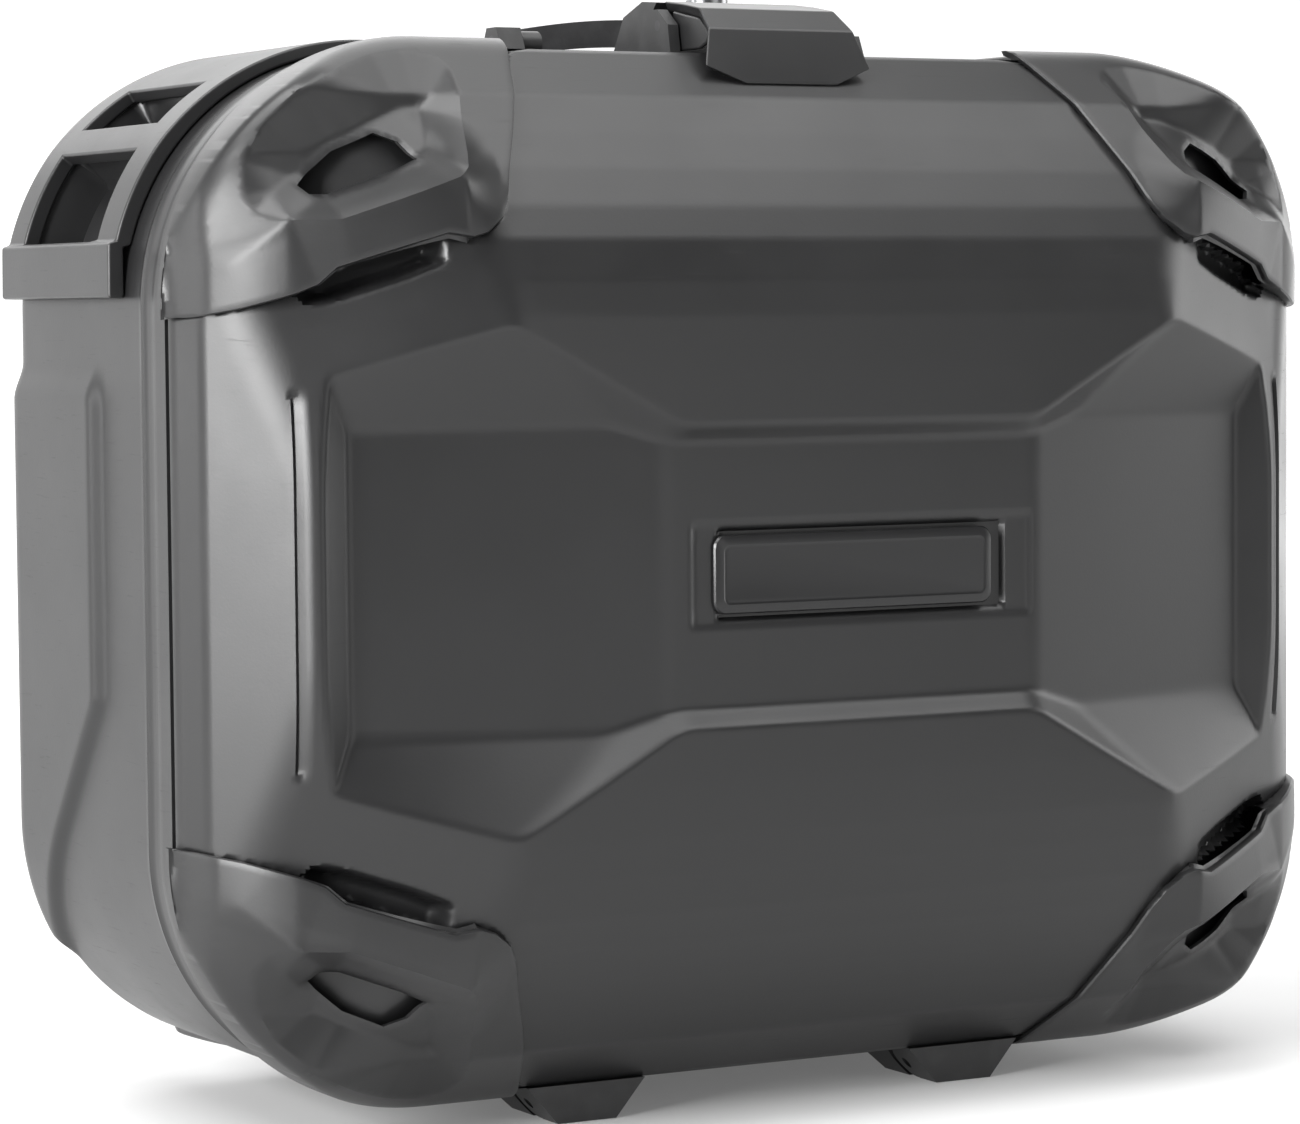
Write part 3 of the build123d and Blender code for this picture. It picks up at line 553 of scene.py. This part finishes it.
class SIDECASE_OT_guards(bpy.types.Operator):
    """Build the four corner guards with scoop, slot and lashing bar"""
    bl_idname = "sidecase.guards"
    bl_label = "Corner guards"

    def execute(self, context):
        made = context.scene.sidecase_guard
        flat, faces, n, m = self.face_mesh(made.mesh_step / MM)
        slot = flat[n:n + m]
        depth = guard_depth(flat, made.proud / MM, made.bar_lift / MM, made.scoop / MM)
        depth = depth - ramp(1.0 - edge_distance(flat, slot)) ** 2 * 0.8
        under = depth - SKIN
        a, b = flat[:, 0], flat[:, 1]
        ring = flat[:n]
        gap = (a[:n] > STRAP_GAP[0]) & (a[:n] < STRAP_GAP[1]) & (b[:n] < BAR_TOP)
        foot = np.where(gap, depth[:n] - SKIN, outer_form(a[:n], b[:n], 2.0) - 2.5)
        foot = np.where(edge_distance(ring, guard_rim(), closed=False) < 0.3, RIM_FOOT, foot)
        foot = np.minimum(foot, depth[:n] - 0.4)
        towards = ring - np.array(GUARD_MIDDLE)
        inward = ring - towards / np.linalg.norm(towards, axis=1)[:, None] * SKIRT
        count = len(flat)
        edge, hole = list(range(n)), list(range(n, n + m))
        outer_foot = [2 * count + i for i in range(n)]
        inner_foot = [2 * count + n + i for i in range(n)]
        tris = [tuple(f) for f in faces]
        body = tris + [tuple(int(i) + count for i in f[::-1]) for f in tris]
        body += strip(outer_foot, edge) + strip(inner_foot, outer_foot)
        body += strip([count + i for i in edge], inner_foot)
        body += strip(hole, [count + i for i in hole])
        for level, up in (("upper", 1), ("lower", -1)):
            for side, out in (("left", -1), ("right", 1)):
                verts = np.concatenate([
                    to_frame(out * a, depth, up * b), to_frame(out * a, under, up * b),
                    to_frame(out * ring[:, 0], foot, up * ring[:, 1]),
                    to_frame(out * inward[:, 0], foot, up * inward[:, 1])])
                turned = [f[::-1] for f in body] if out * up < 0 else body
                name = f"{level}_{side}_corner_guard"
                add_piece(f"{name}_relief", verts, turned, "lid", "guard_plastic", (name,), sharp=32)
        return {"FINISHED"}

    @staticmethod
    def face_mesh(step):
        """Points and triangles of a guard's face, with the point counts of its outline and its slot."""
        outline = resample([tuple(p) for p in guard_outline()], step)
        slot = resample([tuple(p) for p in SLOT], step)
        scoop = resample(list(SCOOP), step)
        grid = np.array([(x + (step / 2 if row % 2 else 0), z)
                         for row, z in enumerate(np.arange(88, 193, step * 0.87))
                         for x in np.arange(104, 241, step)])
        keep = inside(grid, outline) & (edge_distance(grid, outline) > 5.4)
        keep &= ~(inside(grid, slot)) & (edge_distance(grid, slot) > step * 0.6)
        keep &= edge_distance(grid, scoop) > step * 0.55
        rings = [p for gap in (0.55, 1.6, 3.0, 4.5) for p in inset_ring(outline, gap)]
        points = [*outline, *slot, *scoop, *rings, *map(tuple, grid[keep])]
        edges, first = [], 0
        for loop in (outline, slot, scoop):
            size = len(loop)
            edges += [(first + i, first + (i + 1) % size) for i in range(size)]
            first += size
        flat, _, faces, *_ = geometry.delaunay_2d_cdt([Vector(p) for p in points], edges, [], 0, 1e-4)
        flat = np.array([tuple(p) for p in flat])
        faces = np.array([tuple(f) for f in faces])
        centre = flat[faces].mean(axis=1)
        faces = faces[inside(centre, outline) & ~inside(centre, slot)]
        return flat, faces, len(outline), len(slot)


def inset_ring(outline, distance):
    """Outline moved inwards, with points that would cross left out."""
    p = np.array(outline)
    along = np.roll(p, -1, axis=0) - np.roll(p, 1, axis=0)
    normal = np.stack([-along[:, 1], along[:, 0]], axis=1)
    normal /= np.maximum(np.linalg.norm(normal, axis=1), 1e-9)[:, None]
    moved = p + normal * distance
    good = inside(moved, p) & (edge_distance(moved, p) > distance * 0.8)
    return [tuple(q) for q in moved[good]]


def perimeter(step):
    """Rounded outline of the shell as (x, z) points, anticlockwise from the middle of the right side."""
    corner = [(math.cos(math.radians(t)), math.sin(math.radians(t))) for t in np.linspace(0, 90, 41)]
    out = []
    for sx, sz in ((1, 1), (-1, 1), (-1, -1), (1, -1)):
        turn = corner if sx * sz > 0 else corner[::-1]
        out += [(sx * (STRAIGHT[0] + CORNER_R * c), sz * (STRAIGHT[1] + CORNER_R * n)) for c, n in turn]
    return np.array(resample([tuple(p) for p in out], step))


class SIDECASE_OT_base(bpy.types.Operator):
    """Build the base shell with its rim rib and raised side panels"""
    bl_idname = "sidecase.base"
    bl_label = "Base shell"

    def execute(self, context):
        ring = perimeter(2.0)
        centre = np.clip(ring, [-STRAIGHT[0], -STRAIGHT[1]], STRAIGHT)
        normal = ring - centre
        normal /= np.maximum(np.linalg.norm(normal, axis=1), 1e-9)[:, None]
        side_end = BASE_DEPTH - BACK_ROUND - 1
        stations = spaced((1, 3, 14, 19, 20.5, 23.5, 25, 31, side_end), 1.6)
        outer = [(ring + normal * self.relief(ring, y)[:, None], y) for y in stations]
        last = self.relief(ring, side_end)
        for turn in np.radians(np.linspace(15, 90, 6)):
            pull = BACK_ROUND * (1 - math.cos(turn))
            outer.append((ring + normal * (last - pull)[:, None], side_end + 1 + BACK_ROUND * math.sin(turn)))
        outer.append((ring - normal * 30, BASE_DEPTH))
        inner = [(ring + normal * (self.window(ring, y) - BASE_WALL)[:, None], y)
                 for y in stations if y < side_end - 1]
        floor = BASE_DEPTH - BASE_WALL
        for inset, y in ((4, 138.5), (6, floor - 1.4), (10, floor), (34, floor)):
            inner.append((ring - normal * inset, y))
        rings = [to_frame(p[:, 0], np.full(len(p), -y), p[:, 1]) for p, y in inner[::-1] + outer]
        verts, faces = loft([list(map(tuple, r)) for r in rings])
        add_piece("base_shell_relief", verts, faces, "base", "shell_plastic", ("base_shell",), sharp=30)
        return {"FINISHED"}

    @classmethod
    def relief(cls, ring, y):
        """Height above the plain wall of the rim rib, the raised panels and the sunk windows."""
        x, z = ring[:, 0], ring[:, 1]
        rib = 0.9 * ramp(1 - abs(y - 22) / 2.5) + 0.5 * ramp((14 - y) / 3)
        side_front = 59 + 0.77 * np.clip(-46 - z, 0, None)
        side = ramp((y - side_front) / 10) * ramp((76 - z) / 14) * (np.abs(x) > 200)
        floor_front = 59 + 0.9 * np.clip(np.abs(x) - 96, 0, None)
        below = ramp((y - floor_front) / 11) * (np.abs(z) > 180) * (z < 0)
        raised = 3.8 * side * side * (3 - 2 * side) + 2.0 * below * below * (3 - 2 * below)
        return rib + raised + cls.window(ring, y)

    @staticmethod
    def window(ring, y):
        """Pocket in the wall behind the windows of the base guards."""
        x, z = np.abs(ring[:, 0]), ring[:, 1]
        rows = [ramp((z - low) / 1.5) * ramp((high - z) / 1.5) for low, high in POCKET_ROWS]
        along = ramp((y - POCKET_ALONG[0]) / 1.5) * ramp((POCKET_ALONG[1] - y) / 1.5)
        return -POCKET_DEPTH * np.maximum(*rows) * along * (x > 120)


class SIDECASE_OT_base_guards(bpy.types.Operator):
    """Build the two base corner guards with their windows"""
    bl_idname = "sidecase.base_guards"
    bl_label = "Base guards"

    def execute(self, context):
        arc = [(HALF_WIDTH, z) for z in (99.0, 113.5, 117.0)]
        angles = np.radians(np.linspace(14.5, 90, 40))
        arc += [(STRAIGHT[0] + CORNER_R * math.cos(t), STRAIGHT[1] + CORNER_R * math.sin(t)) for t in angles]
        arc += [(x, HALF_HEIGHT) for x in (141.5, 140.0)]
        arc = np.array(arc)
        centre = np.clip(arc, [-STRAIGHT[0], -STRAIGHT[1]], STRAIGHT)
        normal = (arc - centre) / np.linalg.norm(arc - centre, axis=1)[:, None]
        depth = spaced((38, 40, *WINDOW_ALONG, 144.5, 146.5), 5)
        rows, cols = len(arc), len(depth)
        height = arc[:, 1]
        open_row = np.any([(height > low) & (height < high) for low, high in WINDOW_ROWS], axis=0)
        open_col = (depth >= WINDOW_ALONG[0]) & (depth < WINDOW_ALONG[1] - 1)
        for side, out in (("left", -1), ("right", 1)):
            verts, index = [], {}
            lift = 6.5 - 1.2 * ramp((height - 150) / 30)
            for layer, rise in ((0, lift), (1, np.full(rows, 0.4))):
                for j in range(rows):
                    for i in range(cols):
                        index[layer, j, i] = len(verts)
                        p = arc[j] + normal[j] * rise[j]
                        verts.append(to_frame(out * p[0], -depth[i], p[1]))
            solid = {(j, i) for j in range(rows - 1) for i in range(cols - 1)
                     if not (open_row[j] and open_row[j + 1] and open_col[i])}
            faces = []
            for j, i in solid:
                quad = ((j, i), (j, i + 1), (j + 1, i + 1), (j + 1, i))
                faces.append(tuple(index[(0, *q)] for q in quad))
                faces.append(tuple(index[(1, *q)] for q in quad[::-1]))
                for k, near in enumerate(((j - 1, i), (j, i + 1), (j + 1, i), (j, i - 1))):
                    if near not in solid:
                        s, e = quad[k], quad[(k + 1) % 4]
                        faces.append((index[(0, *e)], index[(0, *s)], index[(1, *s)], index[(1, *e)]))
            if out < 0:
                faces = [f[::-1] for f in faces]
            piece = add_piece(f"{side}_base_guard_relief", verts, faces, "base", "guard_plastic",
                              (f"{side}_base_guard",), sharp=30)
            round_edges(piece, 1.1)
        return {"FINISHED"}


def round_edges(piece, width_mm, angle=35.0):
    """Rounded edges on a hard-edged piece."""
    bevel = piece.modifiers.new("rounded", "BEVEL")
    bevel.width = width_mm * MM
    bevel.segments = 3
    bevel.limit_method = "ANGLE"
    bevel.angle_limit = math.radians(angle)
    bevel.harden_normals = True


# the folded lever: height from the middle, depth in front of the seam, half-width
LEVER_OUTSIDE = ((175.0, 27.2, 19.0), (181.5, 24.9, 35.0), (195.4, 19.6, 30.8), (203.4, 9.0, 28.8),
                 (205.6, -4.0, 28.4), (207.4, -18.5, 28.2))
LEVER_INSIDE = ((174.6, 23.0, 18.4), (181.0, 20.8, 32.6), (192.8, 15.0, 28.0), (199.4, 6.5, 26.4),
                (201.6, -5.0, 26.2), (203.6, -18.8, 26.2))

# its side cheeks: height and depth of the outline, and where each starts and ends along the case
LEVER_CHEEK = ((193.4, 15.6), (199.8, 7.0), (202.0, -5.0), (203.4, -12.0), (188.4, -12.0), (188.4, 8.0),
               (190.2, 13.0))
CHEEK_ALONG = ((-28.2, -26.4), (26.4, 28.2))


class SIDECASE_OT_latch(bpy.types.Operator):
    """Build the latch lever as a folded plate with rounded edges"""
    bl_idname = "sidecase.latch"
    bl_label = "Latch lever"

    def execute(self, context):
        verts = []
        for skin in (LEVER_OUTSIDE, LEVER_INSIDE):
            for z, d, w in skin:
                verts += [to_frame(share * w, d, z) for share in (-1.0, -0.5, 0.0, 0.5, 1.0)]
        n = len(LEVER_OUTSIDE)
        faces = grid_faces(n, 5) + grid_faces(n, 5, 5 * n, flip=True)
        loop = rim_loop(n, 5)
        faces += strip([5 * n + i for i in loop], loop)
        for start, end in CHEEK_ALONG:
            sides = [[tuple(to_frame(x, d, z)) for z, d in LEVER_CHEEK] for x in (start, end)]
            first = len(verts)
            more, sheets = loft(sides)
            verts += more
            faces += [tuple(first + i for i in f) for f in sheets]
        piece = add_piece("latch_lever_relief", verts, faces, "latch", "lever_plastic", ("latch_lever",),
                          sharp=25)
        round_edges(piece, 0.8, angle=14)
        return {"FINISHED"}


class SIDECASE_OT_badge(bpy.types.Operator):
    """Build the blank badge plate with its bevelled edge"""
    bl_idname = "sidecase.badge"
    bl_label = "Badge plate"

    def execute(self, context):
        lo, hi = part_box("badge_plate")
        centre = (lo + hi) / 2
        half_x, half_z = (hi.x - lo.x) / 2 / MM, (hi.z - lo.z) / 2 / MM
        front = (SEAM_Y * MM - lo.y) / MM
        rings = []
        for inset, drop in ((0, 4.0), (0, 1.5), (0.5, 0.8), (2.6, 0.1), (3.4, 0.0), (3.9, 0.25), (4.5, 0.35)):
            ring = rounded_rect(half_x - inset, half_z - inset, max(4.5 - inset * 0.6, 1.2))
            rings.append([tuple(to_frame(np.array(centre.x / MM + x), np.array(front - drop),
                                         np.array(centre.z / MM - MID_Z + z))) for x, z in ring])
        verts, faces = loft(rings)
        add_piece("badge_plate_relief", verts, faces, "lid", "badge_plastic", ("badge_plate",), sharp=28)
        return {"FINISHED"}


class SIDECASE_OT_frame_finish(bpy.types.Operator):
    """Give every carried-over CAD piece the finish of its slot"""
    bl_idname = "sidecase.frame_finish"
    bl_label = "Fittings"

    def execute(self, context):
        slots = {part["node"]: part["material_slot"] for part in frame["record"]["subparts"]}
        for name, piece in frame["nodes"].items():
            if piece.hide_render:
                continue
            piece.data.materials.clear()
            piece.data.materials.append(finish_for(slots[name]))
        return {"FINISHED"}


CAMERA_TURN = (0.4974, 0.0592, -0.0084)         # yaw to the left, pitch from above and roll, in radians
CAMERA_TARGET = (-0.02972, -0.01275, 0.19965)
CAMERA_DISTANCE = 1.62844

# lamps aim at one point: name, azimuth, elevation, distance, width, height, radiance
LAMP_TARGET = (0.0, -0.03, 0.2)
LAMPS = (
    ("side_left", -70.0, 13.0, 1.9, 0.55, 1.0, 31.0),
    ("high_left", -78.0, 60.0, 2.2, 1.0, 1.2, 10.0),
    ("left", -112.0, 10.0, 2.2, 0.5, 1.2, 5.5),
    ("behind_left", -152.0, 16.0, 2.4, 1.6, 2.0, 0.4),
    ("front", 17.0, 6.0, 2.6, 1.5, 1.4, 1.25),
    ("side_right", 80.0, 10.0, 2.2, 1.2, 1.8, 3.8),
    ("behind_right", 125.0, 10.0, 2.4, 1.0, 1.8, 1.8),
    ("overhead", 40.0, 72.0, 2.2, 2.0, 1.8, 3.8),
    ("behind", 170.0, 45.0, 2.4, 2.4, 1.6, 2.4),
)


class SIDECASE_OT_stage(bpy.types.Operator):
    """Set the floor, the lamps and the camera"""
    bl_idname = "sidecase.stage"
    bl_label = "Studio"

    def execute(self, context):
        made = context.scene.sidecase_stage
        scene = context.scene
        profile = [(-4.0, 0.0)]
        for i in range(made.sweep_steps + 1):
            t = math.pi / 2 * i / made.sweep_steps
            profile.append((2.6 + 1.6 * math.sin(t), 1.6 - 1.6 * math.cos(t)))
        profile.append((4.2, 5.0))
        verts = [(x, y, z - 0.0002) for x in (-6.0, 6.0) for y, z in profile]
        n = len(profile)
        mesh = bpy.data.meshes.new("floor")
        mesh.from_pydata(verts, [], [(i, n + i, n + i + 1, i + 1) for i in range(n - 1)])
        mesh.shade_smooth()
        paper = bpy.data.materials.new("paper")
        paper.use_nodes = True
        shader = paper.node_tree.nodes["Principled BSDF"]
        shader.inputs["Base Color"].default_value = (*made.ground, 1.0)
        shader.inputs["Roughness"].default_value = 0.9
        shader.inputs["Specular IOR Level"].default_value = 0.1
        shader.inputs["Emission Color"].default_value = (1.0, 1.0, 1.0, 1.0)
        place = node(paper.node_tree, "ShaderNodeTexCoord", (-900, 0))
        split = node(paper.node_tree, "ShaderNodeSeparateXYZ", (-700, 0))
        far = ramp_between(paper.node_tree, (-450, 0), 0.5, 2.4, 0.12, made.glow)
        paper.node_tree.links.new(place.outputs["Object"], split.inputs["Vector"])
        paper.node_tree.links.new(split.outputs["Y"], far.inputs[0])
        paper.node_tree.links.new(far.outputs[0], shader.inputs["Emission Strength"])
        mesh.materials.append(paper)
        floor = bpy.data.objects.new("floor", mesh)
        scene.collection.objects.link(floor)

        world = bpy.data.worlds.new("surround")
        world.use_nodes = True
        world.node_tree.nodes["Background"].inputs["Color"].default_value = (1.0, 1.0, 1.0, 1.0)
        world.node_tree.nodes["Background"].inputs["Strength"].default_value = made.world
        scene.world = world

        target = Vector(LAMP_TARGET)
        for name, azimuth, elevation, distance, size_x, size_y, radiance in LAMPS:
            lamp = bpy.data.lights.new(name, "AREA")
            lamp.shape = "RECTANGLE"
            lamp.size, lamp.size_y = size_x, size_y
            lamp.energy = radiance * math.pi * size_x * size_y
            spot = bpy.data.objects.new(name, lamp)
            az, el = math.radians(azimuth), math.radians(elevation)
            away = Vector((math.sin(az) * math.cos(el), -math.cos(az) * math.cos(el), math.sin(el)))
            spot.location = target + away * distance
            spot.rotation_mode = "QUATERNION"
            spot.rotation_quaternion = away.to_track_quat("Z", "Y")
            scene.collection.objects.link(spot)

        yaw, pitch, roll = CAMERA_TURN
        back = Vector((-math.sin(yaw) * math.cos(pitch), -math.cos(yaw) * math.cos(pitch), math.sin(pitch)))
        right = (-back).cross(Vector((0, 0, 1))).normalized()
        up = right.cross(-back)
        axis_x = right * math.cos(roll) + up * math.sin(roll)
        axis_y = up * math.cos(roll) - right * math.sin(roll)
        camera = bpy.data.cameras.new("camera")
        camera.lens = made.lens
        camera.sensor_width = 36.0
        camera.clip_start, camera.clip_end = 0.05, 40.0
        shot = bpy.data.objects.new("camera", camera)
        place = Vector(CAMERA_TARGET) + back * CAMERA_DISTANCE
        shot.matrix_world = Matrix((
            (axis_x.x, axis_y.x, back.x, place.x),
            (axis_x.y, axis_y.y, back.y, place.y),
            (axis_x.z, axis_y.z, back.z, place.z),
            (0, 0, 0, 1)))
        scene.collection.objects.link(shot)
        scene.camera = shot
        scene.view_settings.view_transform = "Standard"
        scene.view_settings.look = "None"
        return {"FINISHED"}


class SIDECASE_PT_panel(bpy.types.Panel):
    """Panel that lists the case's operators"""
    bl_label = "Side Case"
    bl_idname = "SIDECASE_PT_panel"
    bl_space_type = "VIEW_3D"
    bl_region_type = "UI"
    bl_category = "Side Case"

    def draw(self, context):
        for operator in OPERATORS:
            self.layout.operator(operator.bl_idname)


OPERATORS = (SIDECASE_OT_lid, SIDECASE_OT_guards, SIDECASE_OT_base, SIDECASE_OT_base_guards,
             SIDECASE_OT_latch, SIDECASE_OT_badge, SIDECASE_OT_frame_finish, SIDECASE_OT_stage)
SETTINGS = {"sidecase_shell": CaseShellSettings, "sidecase_guard": CaseGuardSettings,
            "sidecase_stage": CaseStageSettings}


def register():
    """Register the settings, the operators and the panel."""
    for name, group in SETTINGS.items():
        bpy.utils.register_class(group)
        setattr(bpy.types.Scene, name, PointerProperty(type=group))
    for made in (*OPERATORS, SIDECASE_PT_panel):
        bpy.utils.register_class(made)


def unregister():
    """Remove everything that register() added."""
    for made in (SIDECASE_PT_panel, *reversed(OPERATORS)):
        bpy.utils.unregister_class(made)
    for name, group in SETTINGS.items():
        delattr(bpy.types.Scene, name)
        bpy.utils.unregister_class(group)


def main():
    """Register the add-on and build every piece in order."""
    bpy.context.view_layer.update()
    register()
    bpy.ops.sidecase.lid()
    bpy.ops.sidecase.guards()
    bpy.ops.sidecase.base()
    bpy.ops.sidecase.base_guards()
    bpy.ops.sidecase.latch()
    bpy.ops.sidecase.badge()
    bpy.ops.sidecase.frame_finish()
    bpy.ops.sidecase.stage()


if __name__ == "__main__":
    main()
